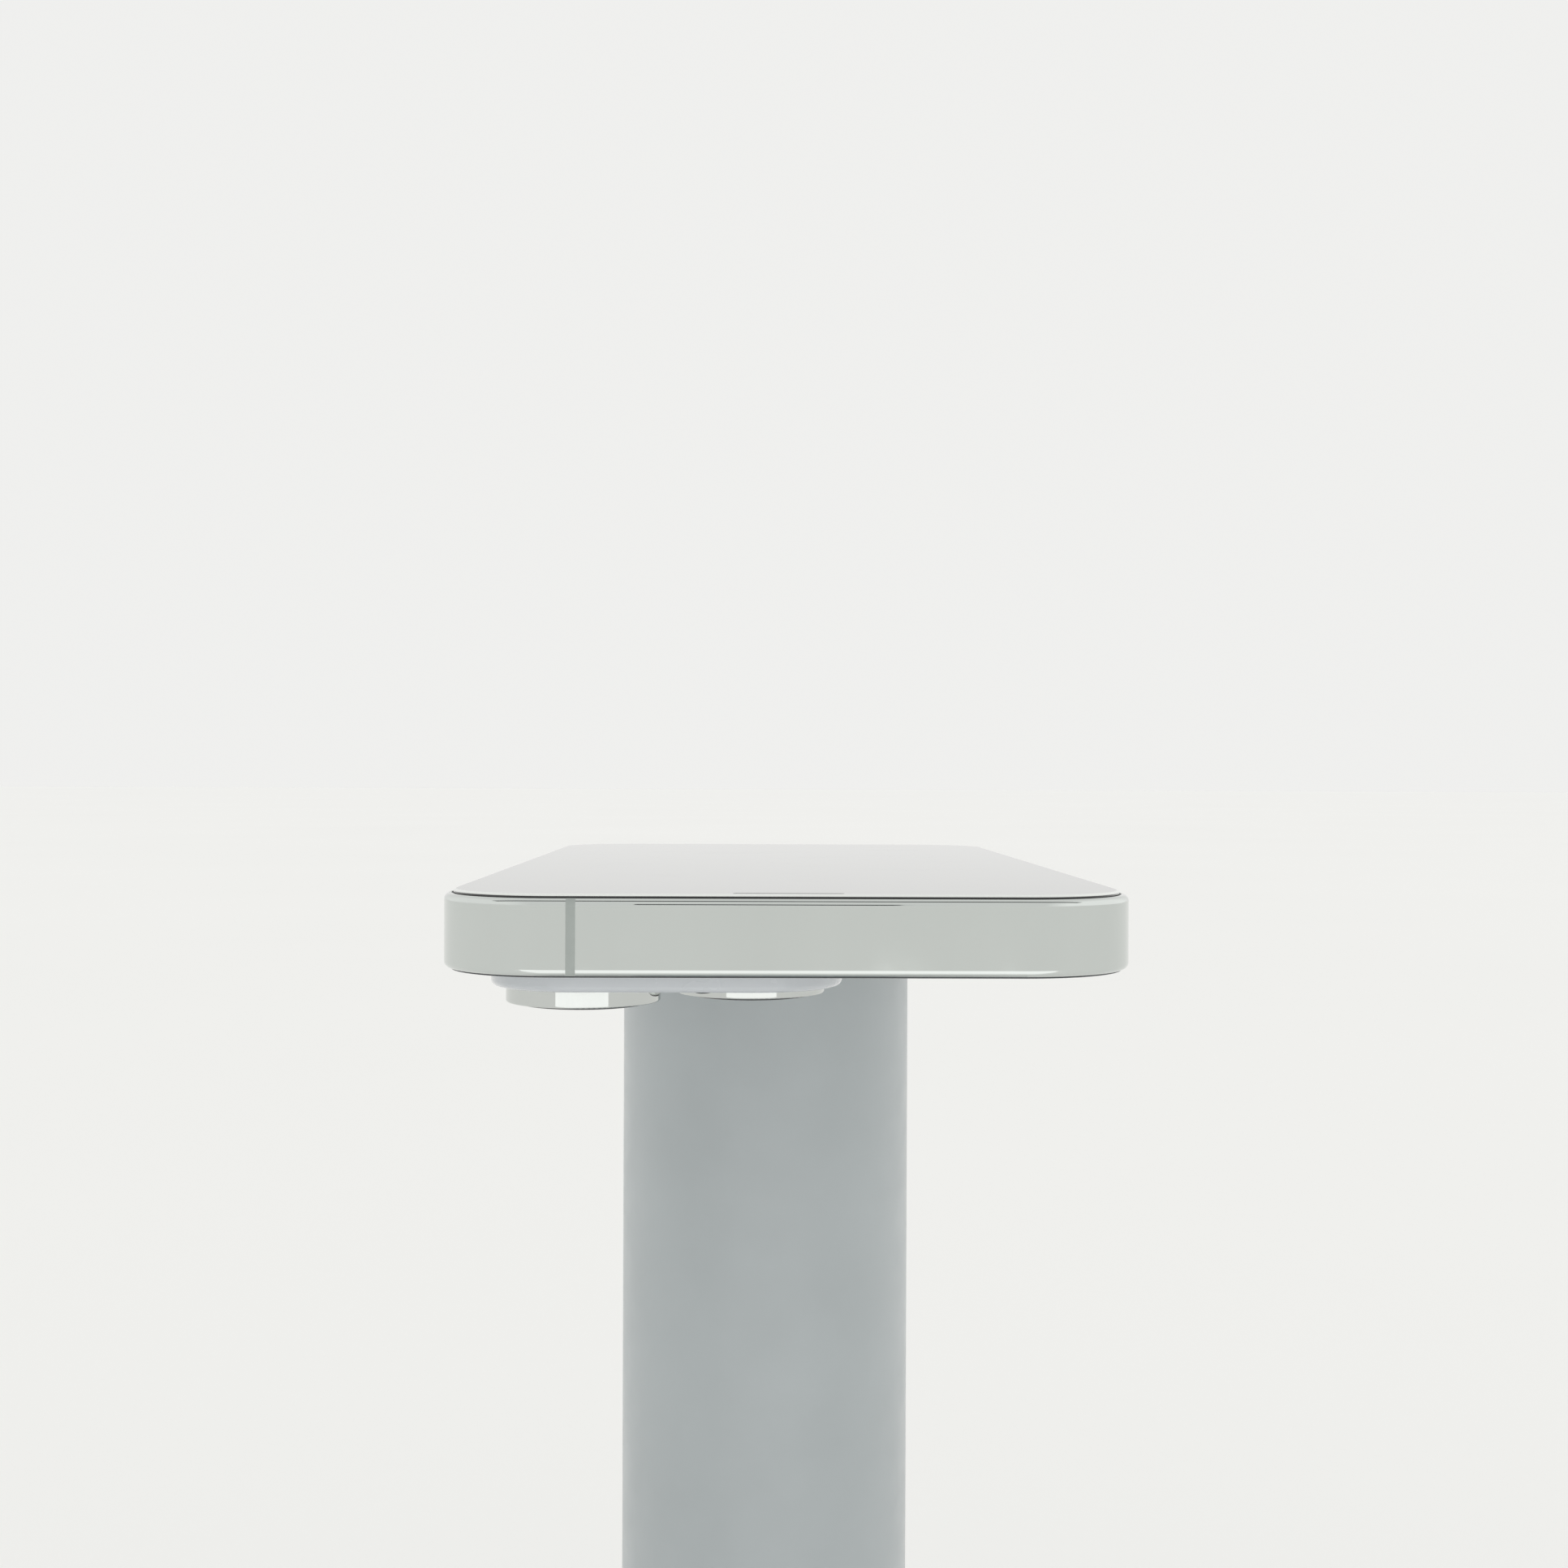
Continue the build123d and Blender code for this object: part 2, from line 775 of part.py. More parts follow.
def back_glass():
    """Frosted back with the holes that the cameras pass through."""
    glass = slab(glass_inset, back_z, back_glass_thickness)
    glass = soften(glass, Axis.Z, 0, back_glass_edge)
    glass -= lens_holes(lens_neck_radius + slip, back_z, back_glass_thickness)
    return glass - window_places(disc(small_window_radius + slip, back_z, back_glass_thickness))


def camera_deck():
    """Raised square of glass that carries the cameras."""
    deck = Pos(deck_x, deck_y, deck_bottom) * extrude(
        RectangleRounded(deck_size, deck_size, deck_corner), deck_height
    )
    deck = soften(deck, Axis.Z, 0, deck_edge)
    deck -= lens_holes(lens_neck_radius + slip, deck_bottom, back_z)
    return deck - window_places(disc(small_window_radius + slip, deck_bottom, back_z))


# ---- Cameras ----
def lens_ring(place):
    """Polished collar round one camera, with a neck through the deck."""
    collar_top = deck_bottom - lens_ring_gap
    collar = disc(lens_ring_radius, ring_bottom, collar_top)
    collar = soften(collar, Axis.Z, 0, lens_ring_edge)
    collar += disc(lens_neck_radius, collar_top, back_glass_thickness)
    collar -= disc(lens_glass_radius, ring_bottom, glass_seat())
    collar -= disc(lens_barrel_radius + slip, ring_bottom, back_glass_thickness)
    return Pos(place[0], place[1], 0) * collar


def glass_seat():
    """Level of the shoulder that the camera's glass rests on."""
    return ring_bottom - lens_glass_proud + lens_glass_thickness


def lens_glasses():
    """Cover glasses of the three cameras, a little proud of their collars."""
    glass = disc(lens_glass_radius, ring_bottom - lens_glass_proud, glass_seat())
    glass = soften(glass, Axis.Z, 0, lens_glass_edge)
    return Compound(children=[Pos(x, y, 0) * glass for x, y in lens_places])


def lens_barrel(place):
    """Lens barrel with a stepped mouth and a front element."""
    barrel = disc(lens_barrel_radius, glass_seat(), lens_barrel_top)
    for index in range(barrel_steps):
        radius = lens_barrel_radius - (index + 1) * barrel_step_width
        barrel -= disc(radius, glass_seat(), glass_seat() + (index + 1) * barrel_step_depth)
    return Pos(place[0], place[1], 0) * barrel


def lens_barrels():
    """The three lens barrels."""
    return Compound(children=[lens_barrel(place) for place in lens_places])


def camera_sensors():
    """Sensor packages behind the three barrels."""
    size = (sensor_size, sensor_size, sensor_thickness)
    return Compound(children=[block(size, place, lens_barrel_top) for place in lens_places])


def window(side, proud):
    """Small round window in the deck."""
    glass = disc(small_window_radius, deck_bottom - proud, back_glass_thickness)
    return Pos(window_x, deck_y + side * small_window_offset, 0) * glass


def flash_lens():
    """Diffuser of the flash, a little proud of the deck."""
    return window(-1, flash_proud)


def depth_sensor_window():
    """Dark window of the depth sensor, flush with the deck."""
    return window(1, 0.0)


# ---- Display side ----
def island(bottom, top, grow=0.0):
    """Stadium prism for the front sensors."""
    outline = SlotOverall(island_width + 2 * grow, island_height + 2 * grow)
    place_y = -half_length + island_from_top
    return Pos(0, place_y, bottom) * extrude(outline, top - bottom)


def display_panel():
    """Display module under the glass, with an opening for the sensors."""
    panel = slab(frame_wall + display_clearance, display_bottom, glass_bottom)
    panel -= island(display_bottom, glass_bottom, slip)
    return panel - earpiece_opening(display_bottom, glass_bottom)


def earpiece_opening(bottom, top):
    """Passage for the earpiece's sound."""
    place_y = -half_length + glass_inset + earpiece_slot_inset
    return Pos(0, place_y, bottom) * extrude(SlotOverall(*earpiece_slot), top - bottom)


def mid_plate():
    """Stiffening sheet behind the display."""
    plate = slab(frame_wall, mid_plate_bottom, display_bottom)
    plate -= island(mid_plate_bottom, display_bottom, slip)
    return plate - earpiece_opening(mid_plate_bottom, display_bottom)


def front_sensor_module():
    """Front camera and sensors in one carrier behind the glass."""
    return island(glass_bottom - island_depth, glass_bottom)


def earpiece_speaker():
    """Receiver box at the top end, under the mid plate."""
    place = (0, -half_length + frame_wall + earpiece_size[1] / 2 + display_clearance)
    return block(earpiece_size, place, mid_plate_bottom - earpiece_size[2])


# ---- Buttons and tray ----
def button(length, height, from_top, side, foot):
    """Pill-shaped button whose face stands proud of the band."""
    outer = half_width + button_proud
    inner = band_inner
    depth = outer - inner
    body = soften(slot(length, height, depth), Axis.X, -1, button_edge)
    body = Pos((outer + inner) / 2, 0, 0) * body
    if foot:
        flange = slot(length + 2 * button_foot_lip, height + button_foot_lip, button_foot)
        body += Pos(inner - button_foot / 2 - button_travel, 0, 0) * flange
        neck = slot(length / 3, height, button_travel)
        body += Pos(inner - button_travel / 2, 0, 0) * neck
    turn = 0 if side > 0 else 180
    return Pos(0, from_top - half_length, mid_z) * Rot(0, 0, turn) * body


def side_button():
    """Wake button on the handset's right side."""
    return button(side_button_length, button_height, side_button_from_top, -1, True)


def volume_up_button():
    """Upper volume button."""
    return button(volume_button_length, button_height, volume_up_from_top, 1, True)


def volume_down_button():
    """Lower volume button."""
    return button(volume_button_length, button_height, volume_down_from_top, 1, True)


def ring_switch():
    """Silence slider in its window, at the end of its stroke nearer the back."""
    length = ring_switch_length - ring_switch_play
    lever = button(length, ring_switch_height, ring_switch_from_top, 1, False)
    return Pos(0, 0, -ring_switch_travel / 2) * lever


def switch_behind(from_top, side):
    """Dome switch that a button presses."""
    place = (side * (switch_inner + switch_size[0] / 2), from_top - half_length)
    bottom = mid_z - switch_drop
    return block((*switch_size, mid_plate_bottom - bottom), place, bottom)


def button_switches():
    """The dome switches behind the three buttons."""
    parts = [
        switch_behind(side_button_from_top, -1),
        switch_behind(volume_up_from_top, 1),
        switch_behind(volume_down_from_top, 1),
    ]
    return Compound(children=parts)


def sim_tray():
    """Card tray: a bezel flush with the band and a thin frame for the card."""
    bezel = soften(slot(tray_length, tray_height, frame_wall), Axis.X, -1, tray_edge)
    tray = Pos(half_width - frame_wall / 2, 0, 0) * bezel
    inner = band_inner
    blade = Box(tray_blade_depth, tray_blade_length, tray_blade_thickness)
    tray += Pos(inner - tray_blade_depth / 2, 0, 0) * blade
    card = Box(card_size[1], card_size[0], tray_blade_thickness)
    tray -= Pos(inner - card_setback - card_size[1] / 2, 0, 0) * card
    return Pos(0, tray_from_top - half_length, mid_z) * tray


def sim_reader():
    """Metal cage under the mid plate that the tray slides into."""
    hole_height = tray_blade_thickness + 2 * slip
    bottom = mid_z - hole_height / 2 - reader_wall
    width = tray_blade_length + 2 * (slip + reader_wall)
    place = (band_inner - reader_depth / 2, tray_from_top - half_length)
    cage = block((reader_depth, width, mid_plate_bottom - bottom), place, bottom)
    hole = Box(reader_depth, tray_blade_length + 2 * slip, hole_height)
    return cage - Pos(place[0] + reader_wall / 2, place[1], mid_z) * hole


# ---- Handset interior ----
def under_mid_plate(size, place):
    """Box that hangs from the mid plate."""
    return block(size, place, mid_plate_bottom - size[2])


def between(left, right, length, thickness, place_y):
    """Box that hangs from the mid plate between two places across the handset."""
    size = (right - left, length, thickness)
    return under_mid_plate(size, ((left + right) / 2, place_y))


def battery():
    """Flat cell glued under the mid plate, beside the logic board."""
    cell = between(battery_left, battery_right, battery_length, battery_thickness, battery_y)
    return fillet(cell.edges().filter_by(Axis.Z), cell_corner)


def logic_board():
    """Main circuit board in the upper left, its chips facing the mid plate."""
    bottom = mid_plate_bottom - shield_thickness - logic_board_thickness
    size = (logic_board_width, logic_board_length, logic_board_thickness)
    return block(size, (logic_board_x, logic_board_y), bottom)


def board_shields():
    """Soldered cans over the chips of the logic board."""
    start = logic_board_y - logic_board_length / 2 + shield_spacing
    cans = []
    for length in shield_lengths:
        size = (logic_board_width - 2 * shield_margin, length, shield_thickness)
        cans.append(under_mid_plate(size, (logic_board_x, start + length / 2)))
        start += length + shield_spacing
    return Compound(children=cans)


def charging_coil():
    """Flat coil against the inside of the back."""
    return ring(coil_outer, coil_inner, interior_bottom, interior_bottom + coil_thickness)


def speaker_box():
    """Loudspeaker enclosure in the lower left corner."""
    box = between(speaker_left, speaker_right, speaker_length, speaker_thickness, speaker_y)
    return fillet(box.edges().filter_by(Axis.Z), speaker_corner)


def charge_port():
    """Charging socket in the lower end: a shell with a tongue."""
    outer = slot(port_width - 2 * slip, port_height - 2 * slip, port_depth)
    inner_depth = port_depth - port_back
    inner = slot(port_width - 2 * port_wall, port_height - 2 * port_wall, inner_depth)
    shell = outer - Pos(port_back / 2, 0, 0) * inner
    shell += Pos(-port_back / 2, 0, 0) * Box(inner_depth, *port_tongue)
    place = Pos(0, half_length - port_depth / 2 - port_recess, mid_z) * Rot(0, 0, 90)
    return place * shell


def end_screws():
    """Two small screws beside the port."""
    screws = []
    for side in (-1, 1):
        screw = Rot(90, 0, 0) * Cylinder(end_screw_radius - slip, end_screw_length)
        socket = extrude(RegularPolygon(end_screw_radius / 2, 5), end_screw_radius / 2)
        screw -= Pos(0, end_screw_length / 2, 0) * Rot(90, 0, 0) * socket
        place = half_length - end_screw_length / 2 - port_recess
        screws.append(Pos(side * end_screw_offset, place, mid_z) * screw)
    return Compound(children=screws)


os.makedirs("parts", exist_ok=True)

STAND = {
    "foot_ring": foot_ring(),
    "base_plate": base_plate(),
    "base_cover": base_cover(),
    "base_screws": base_screws(),
    "cable_grommet": cable_grommet(),
    "reel_spindle": reel_spindle(),
    "reel_clip": reel_clip(),
    "reel_drum": reel_drum(),
    "reel_spring": reel_spring(),
    "alarm_board": alarm_board(),
    "alarm_components": board_components(),
    "sounder": sounder(),
    "backup_cell": backup_cell(),
    "post_tube": post_tube(),
    "post_foot": post_foot(),
    "post_screws": post_screws(),
    "tether_tube": tether_tube(),
    "dock_cup": dock_cup(),
    "dock_magnets": dock_magnets(),
    "dock_board": dock_board(),
    "contact_pins": contact_pins(),
    "puck_shell": puck_shell(),
    "puck_cover": puck_cover(),
    "contact_ring": contact_ring(),
    "puck_keeper": puck_keeper(),
    "puck_board": puck_board(),
    "tether_ferrule": tether_ferrule(),
    "adhesive_pad": adhesive_pad(),
}

HANDSET = {
    "phone_frame": phone_frame(),
    "antenna_bands": antenna_bands(),
    "front_glass": front_glass(),
    "glass_gaskets": glass_gaskets(),
    "back_glass": back_glass(),
    "camera_deck": camera_deck(),
    "lens_glasses": lens_glasses(),
    "lens_barrels": lens_barrels(),
    "camera_sensors": camera_sensors(),
    "flash_lens": flash_lens(),
    "depth_sensor_window": depth_sensor_window(),
    "display_panel": display_panel(),
    "mid_plate": mid_plate(),
    "front_sensor_module": front_sensor_module(),
    "earpiece_speaker": earpiece_speaker(),
    "side_button": side_button(),
    "volume_up_button": volume_up_button(),
    "volume_down_button": volume_down_button(),
    "ring_switch": ring_switch(),
    "button_switches": button_switches(),
    "sim_tray": sim_tray(),
    "sim_reader": sim_reader(),
    "battery": battery(),
    "logic_board": logic_board(),
    "board_shields": board_shields(),
    "charging_coil": charging_coil(),
    "speaker_box": speaker_box(),
    "charge_port": charge_port(),
    "end_screws": end_screws(),
}
for number, place in enumerate(lens_places, 1):
    HANDSET["lens_ring_" + str(number)] = lens_ring(place)

for name, shape in STAND.items():
    save(name, shape)
for name, shape in HANDSET.items():
    save_handset(name, shape)
print(len(STAND) + len(HANDSET), "nodes")
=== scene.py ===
"""Dresses a counter stand that holds a demonstration handset flat on a round post."""

import logging
import math
from dataclasses import dataclass, field
from enum import Enum
from typing import Iterable, Sequence

import bmesh
import bpy
from mathutils import Euler, Matrix, Vector

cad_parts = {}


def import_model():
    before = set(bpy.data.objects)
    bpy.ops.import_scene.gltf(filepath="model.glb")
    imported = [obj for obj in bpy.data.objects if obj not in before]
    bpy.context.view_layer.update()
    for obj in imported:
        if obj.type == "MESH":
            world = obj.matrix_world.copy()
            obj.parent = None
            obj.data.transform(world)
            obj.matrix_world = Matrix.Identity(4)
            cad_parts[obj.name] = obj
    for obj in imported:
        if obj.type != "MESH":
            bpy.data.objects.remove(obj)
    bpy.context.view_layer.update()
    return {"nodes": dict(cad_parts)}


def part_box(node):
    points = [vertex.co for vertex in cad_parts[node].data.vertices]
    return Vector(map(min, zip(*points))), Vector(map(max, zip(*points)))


LOG = logging.getLogger("display_stand")
MM = 0.001
UM = 0.000001
GLASS_IOR = 1.5

Colour = tuple[float, float, float]
Socket = bpy.types.NodeSocket


class Grain(Enum):
    """The way a surface's fine relief runs, as a stretch along X, Y and Z."""

    EVEN = (1.0, 1.0, 1.0)
    UPRIGHT = (1.0, 1.0, 0.04)
    LEVEL = (0.06, 0.06, 1.0)
    LENGTHWISE = (1.0, 0.03, 1.0)


class Recipe:
    """One material in the making: its shader, and the textures that feed it."""

    def __init__(self, name: str) -> None:
        """Start an empty material.

        Args:
            name: The material's name.
        """
        self.material = bpy.data.materials.new(name)
        self.material.use_nodes = True
        tree = self.material.node_tree
        self.nodes = tree.nodes
        self.links = tree.links
        self.shader = self.nodes["Principled BSDF"]
        self.place = self.nodes.new("ShaderNodeTexCoord").outputs["Object"]

    def set(self, **values: float | tuple[float, ...]) -> None:
        """Set uniform values on the shader's own sockets.

        Args:
            values: Socket names, with underscores for spaces, and their values.
        """
        for name, value in values.items():
            self.shader.inputs[name.replace("_", " ")].default_value = value

    def feed(self, name: str, socket: Socket) -> None:
        """Feed one of the shader's sockets from a texture."""
        self.links.new(socket, self.shader.inputs[name])

    def stretched(self, grain: Grain, centre: Vector | None = None) -> Socket:
        """Object coordinates, stretched along the grain.

        Args:
            grain: The way the texture runs.
            centre: The point that becomes the texture's origin.

        Returns:
            The stretched coordinates.
        """
        mapping = self.nodes.new("ShaderNodeMapping")
        mapping.vector_type = "POINT"
        mapping.inputs["Scale"].default_value = grain.value
        if centre is not None:
            mapping.inputs["Location"].default_value = -centre
        self.links.new(self.place, mapping.inputs["Vector"])
        return mapping.outputs["Vector"]

    def noise(self, size: float, grain: Grain = Grain.EVEN, detail: float = 3.0) -> Socket:
        """Cloudy noise whose lumps are of one size.

        Args:
            size: Size of a lump in millimetres.
            grain: The way the lumps are drawn out.
            detail: Octaves of finer noise.

        Returns:
            The noise, from 0 to 1.
        """
        texture = self.nodes.new("ShaderNodeTexNoise")
        texture.inputs["Scale"].default_value = 1.0 / (size * MM)
        texture.inputs["Detail"].default_value = detail
        self.links.new(self.stretched(grain), texture.inputs["Vector"])
        return texture.outputs["Fac"]

    def cells(self, size: float) -> Socket:
        """Distance to the nearest of many scattered points.

        Args:
            size: How far apart the points are, in millimetres.

        Returns:
            The distance, as a share of the size.
        """
        texture = self.nodes.new("ShaderNodeTexVoronoi")
        texture.inputs["Scale"].default_value = 1.0 / (size * MM)
        self.links.new(self.place, texture.inputs["Vector"])
        return texture.outputs["Distance"]

    def rings(self, centre: Vector, pitch: float) -> Socket:
        """Concentric waves about an upright axis.

        Args:
            centre: A point on the axis.
            pitch: Distance from crest to crest in millimetres.

        Returns:
            The waves, from 0 to 1.
        """
        wave = self.nodes.new("ShaderNodeTexWave")
        wave.wave_type = "RINGS"
        wave.rings_direction = "Z"
        wave.inputs["Scale"].default_value = 1.0 / (20.0 * pitch * MM)
        wave.inputs["Distortion"].default_value = 0.6
        self.links.new(self.stretched(Grain.EVEN, centre), wave.inputs["Vector"])
        return wave.outputs["Fac"]

    def spread(self, socket: Socket, low: float, high: float, start: float = 0.3, end: float = 0.7) -> Socket:
        """Stretch a texture's middle range to a new one.

        Args:
            socket: The texture.
            low: The result where the texture is at start or below.
            high: The result where the texture is at end or above.
            start: The texture's lower value.
            end: The texture's upper value.

        Returns:
            The stretched value.
        """
        node = self.nodes.new("ShaderNodeMapRange")
        node.inputs["From Min"].default_value = start
        node.inputs["From Max"].default_value = end
        node.inputs["To Min"].default_value = low
        node.inputs["To Max"].default_value = high
        self.links.new(socket, node.inputs["Value"])
        return node.outputs["Result"]

    def maths(self, operation: str, first: Socket, second: Socket | float) -> Socket:
        """Combine two values.

        Args:
            operation: The Math node's operation.
            first: The first value.
            second: The second value, a socket or a number.

        Returns:
            The result.
        """
        node = self.nodes.new("ShaderNodeMath")
        node.operation = operation
        self.links.new(first, node.inputs[0])
        if isinstance(second, (int, float)):
            node.inputs[1].default_value = second
        else:
            self.links.new(second, node.inputs[1])
        return node.outputs["Value"]

    def tint(self, amount: Socket, first: Colour | Socket, second: Colour | Socket) -> Socket:
        """Blend two colours.

        Args:
            amount: How much of the second colour shows.
            first: The colour where amount is 0.
            second: The colour where amount is 1.

        Returns:
            The blended colour.
        """
        node = self.nodes.new("ShaderNodeMix")
        node.data_type = "RGBA"
        self.links.new(amount, node.inputs["Factor"])
        for index, colour in ((6, first), (7, second)):
            if isinstance(colour, tuple):
                node.inputs[index].default_value = (*colour, 1.0)
            else:
                self.links.new(colour, node.inputs[index])
        return node.outputs[2]

    def relief(self, height: Socket, micrometres: float) -> None:
        """Raise the surface with a height texture, on top of any relief it already has.

        Args:
            height: The texture.
            micrometres: The height of its full range.
        """
        node = self.nodes.new("ShaderNodeBump")
        node.inputs["Distance"].default_value = micrometres * UM
        self.links.new(height, node.inputs["Height"])
        normal = self.shader.inputs["Normal"]
        if normal.is_linked:
            self.links.new(normal.links[0].from_socket, node.inputs["Normal"])
        self.links.new(node.outputs["Normal"], normal)

    def edges(self, radius: float) -> Socket:
        """Mark sharp edges.

        Args:
            radius: How far from an edge the mark reaches, in millimetres.

        Returns:
            0 on a flat and up to 1 on an edge.
        """
        bevel = self.nodes.new("ShaderNodeBevel")
        bevel.samples = 4
        bevel.inputs["Radius"].default_value = radius * MM
        plain = self.nodes.new("ShaderNodeNewGeometry")
        dot = self.nodes.new("ShaderNodeVectorMath")
        dot.operation = "DOT_PRODUCT"
        self.links.new(bevel.outputs["Normal"], dot.inputs[0])
        self.links.new(plain.outputs["Normal"], dot.inputs[1])
        return self.spread(dot.outputs["Value"], 1.0, 0.0, 0.72, 0.97)


@dataclass(frozen=True)
class Finish:
    """A plain finish: a colour that wanders, a fine grain and rubbed edges."""

    name: str
    colour: Colour
    metallic: float = 0.0
    roughness: float = 0.4
    roughness_spread: float = 0.08
    colour_spread: float = 0.06
    grain: Grain = Grain.EVEN
    grain_size: float = 0.3
    relief: float = 1.0
    worn_edge: float = 0.0
    worn_reach: float = 0.25
    worn_lightening: float = 0.5

    def shade(self, amount: float) -> Colour:
        """The finish's colour, lighter or darker by a share of itself."""
        return tuple(min(1.0, part * (1.0 + amount)) for part in self.colour)

    def mix(self) -> bpy.types.Material:
        """Mix the finish.

        Returns:
            The new material.
        """
        recipe = Recipe(self.name)
        recipe.set(Metallic=self.metallic)
        self.paint(recipe)
        self.texture(recipe)
        return recipe.material

    def paint(self, recipe: Recipe) -> None:
        """Give the surface its colour, with worn edges where the finish has them.

        Args:
            recipe: The material in the making.
        """
        cloud = recipe.spread(recipe.noise(self.grain_size * 30, self.grain), 0.0, 1.0)
        colour = recipe.tint(cloud, self.shade(-self.colour_spread), self.shade(self.colour_spread))
        if self.worn_edge:
            mark = recipe.maths("MULTIPLY", recipe.edges(self.worn_reach), self.worn_edge)
            ragged = recipe.maths("MULTIPLY", mark, recipe.spread(recipe.noise(0.5), 0.4, 1.0))
            colour = recipe.tint(ragged, colour, self.shade(self.worn_lightening))
        recipe.feed("Base Color", colour)

    def texture(self, recipe: Recipe) -> None:
        """Give the surface its roughness and its fine relief.

        Args:
            recipe: The material in the making.
        """
        low = max(0.02, self.roughness - self.roughness_spread)
        high = self.roughness + self.roughness_spread
        patches = recipe.noise(self.grain_size * 12, self.grain, 5.0)
        recipe.feed("Roughness", recipe.spread(patches, low, high))
        recipe.relief(recipe.noise(self.grain_size, self.grain, 2.0), self.relief)


@dataclass(frozen=True)
class PolishedSteel(Finish):
    """Mirror-polished steel with faint buffing lines, hairline scratches and soft handling marks."""

    scratch: float = 0.25
    line_width: float = 0.05
    line_share: float = 0.3
    scratch_width: float = 0.35
    mark_size: float = 6.0
    mark_dulling: float = 0.05
    wave_size: float = 9.0

    def texture(self, recipe: Recipe) -> None:
        """Add buffing lines, scratches and finger marks.

        Args:
            recipe: The material in the making.
        """
        lines = recipe.noise(self.line_width, Grain.LEVEL, 2.0)
        hair = recipe.spread(recipe.noise(self.scratch_width, Grain.LENGTHWISE, 6.0), 0.0, 1.0, 0.66, 0.7)
        marks = recipe.spread(recipe.noise(self.mark_size, Grain.EVEN, 4.0), 0.0, self.mark_dulling, 0.45, 0.75)
        smooth = self.roughness * (1.0 - self.line_share)
        base = recipe.spread(lines, smooth, self.roughness * (1.0 + self.line_share))
        scratched = recipe.maths("MULTIPLY", hair, self.scratch * self.roughness)
        total = recipe.maths("ADD", recipe.maths("ADD", base, marks), scratched)
        recipe.feed("Roughness", total)
        recipe.relief(recipe.noise(self.wave_size, self.grain, 1.0), self.relief)
        recipe.relief(lines, self.relief * 0.02)


@dataclass(frozen=True)
class TurnedSteel(PolishedSteel):
    """Polished steel with the rings of the lathe round one axis."""

    centre: tuple[float, float, float] = (0.0, 0.0, 0.0)
    ring_pitch: float = 0.08
    ring_depth: float = 0.15

    def texture(self, recipe: Recipe) -> None:
        """Add the lathe's rings to the polish.

        Args:
            recipe: The material in the making.
        """
        super().texture(recipe)
        recipe.relief(recipe.rings(Vector(self.centre), self.ring_pitch), self.ring_depth)


@dataclass(frozen=True)
class SatinCoat(Finish):
    """Powder coat: fine orange peel under a soft sheen, and a rubbed rim."""

    sheen: float = 0.8
    sheen_roughness: float = 0.38

    def texture(self, recipe: Recipe) -> None:
        """Add the orange peel and the dull patches.

        Args:
            recipe: The material in the making.
        """
        super().texture(recipe)
        recipe.relief(recipe.cells(self.grain_size * 2.2), self.relief * 0.6)
        recipe.set(Coat_Weight=self.sheen, Coat_Roughness=self.sheen_roughness)


@dataclass(frozen=True)
class DarkScreen(Finish):
    """Polished cover glass over a dark display: a pale painted highlight along the slope of its rim, and a few
    faint finger marks.
    """

    # The pale colour of the painted highlight, and the ranges of the surface's upward tilt over which it fades in
    # and out.
    painted_highlight_colour: Colour = (0.80, 0.82, 0.80)
    rim_bottom: tuple[float, float] = (0.14, 0.26)
    rim_top: tuple[float, float] = (0.985, 0.998)
    border_cloud: float = 40.0
    smudge_size: float = 14.0
    smudge_roughness: tuple[float, float] = (0.015, 0.06)
    dust_spacing: float = 2.6
    dust_dulling: float = 0.12
    gloss: float = 0.5
    wave_size: float = 25.0

    def paint(self, recipe: Recipe) -> None:
        """Paint the glass black, with a pale painted highlight on the slope of its rim.

        Args:
            recipe: The material in the making.
        """
        geometry = recipe.nodes.new("ShaderNodeNewGeometry")
        split = recipe.nodes.new("ShaderNodeSeparateXYZ")
        recipe.links.new(geometry.outputs["Normal"], split.inputs["Vector"])
        # Painted highlight: the rim's slope, picked out by how far its surface faces up, is painted pale to stand
        # for the bright reflection along the glass's edge.
        rising = recipe.spread(split.outputs["Z"], 0.0, 1.0, *self.rim_bottom)
        falling = recipe.spread(split.outputs["Z"], 1.0, 0.0, *self.rim_top)
        rim = recipe.maths("MULTIPLY", rising, falling)
        cloud = recipe.spread(recipe.noise(self.border_cloud), 0.0, 1.0)
        dark = recipe.tint(cloud, self.shade(-self.colour_spread), self.shade(self.colour_spread))
        recipe.feed("Base Color", recipe.tint(rim, dark, self.painted_highlight_colour))

    def texture(self, recipe: Recipe) -> None:
        """Add smudges, dust and the polish's slow waves.

        Args:
            recipe: The material in the making.
        """
        smudge = recipe.spread(recipe.noise(self.smudge_size, Grain.EVEN, 6.0), *self.smudge_roughness, 0.5, 0.72)
        dust = recipe.spread(recipe.cells(self.dust_spacing), self.dust_dulling, 0.0, 0.0, 0.05)
        recipe.feed("Roughness", recipe.maths("ADD", smudge, dust))
        recipe.relief(recipe.noise(self.wave_size, Grain.EVEN, 1.0), self.relief)
        recipe.set(IOR=GLASS_IOR, Coat_Weight=self.gloss, Coat_IOR=GLASS_IOR, Coat_Roughness=0.02)


@dataclass(frozen=True)
class FrostedGlass(Finish):
    """Acid-etched glass over a pale paint: a fine sparkle under a soft sheen."""

    etch_size: float = 0.12
    etch_depth: float = 0.8

    def texture(self, recipe: Recipe) -> None:
        """Add the etched sparkle.

        Args:
            recipe: The material in the making.
        """
        super().texture(recipe)
        recipe.relief(recipe.cells(self.etch_size), self.etch_depth)
        recipe.set(IOR=GLASS_IOR, Coat_Weight=0.2, Coat_Roughness=0.25)


@dataclass(frozen=True)
class TintedGlass(Finish):
    """Polished glass over a paint that shines through it."""

    def texture(self, recipe: Recipe) -> None:
        """Add the glass layer over the paint.

        Args:
            recipe: The material in the making.
        """
        super().texture(recipe)
        recipe.set(IOR=GLASS_IOR, Coat_Weight=1.0, Coat_Roughness=0.03)


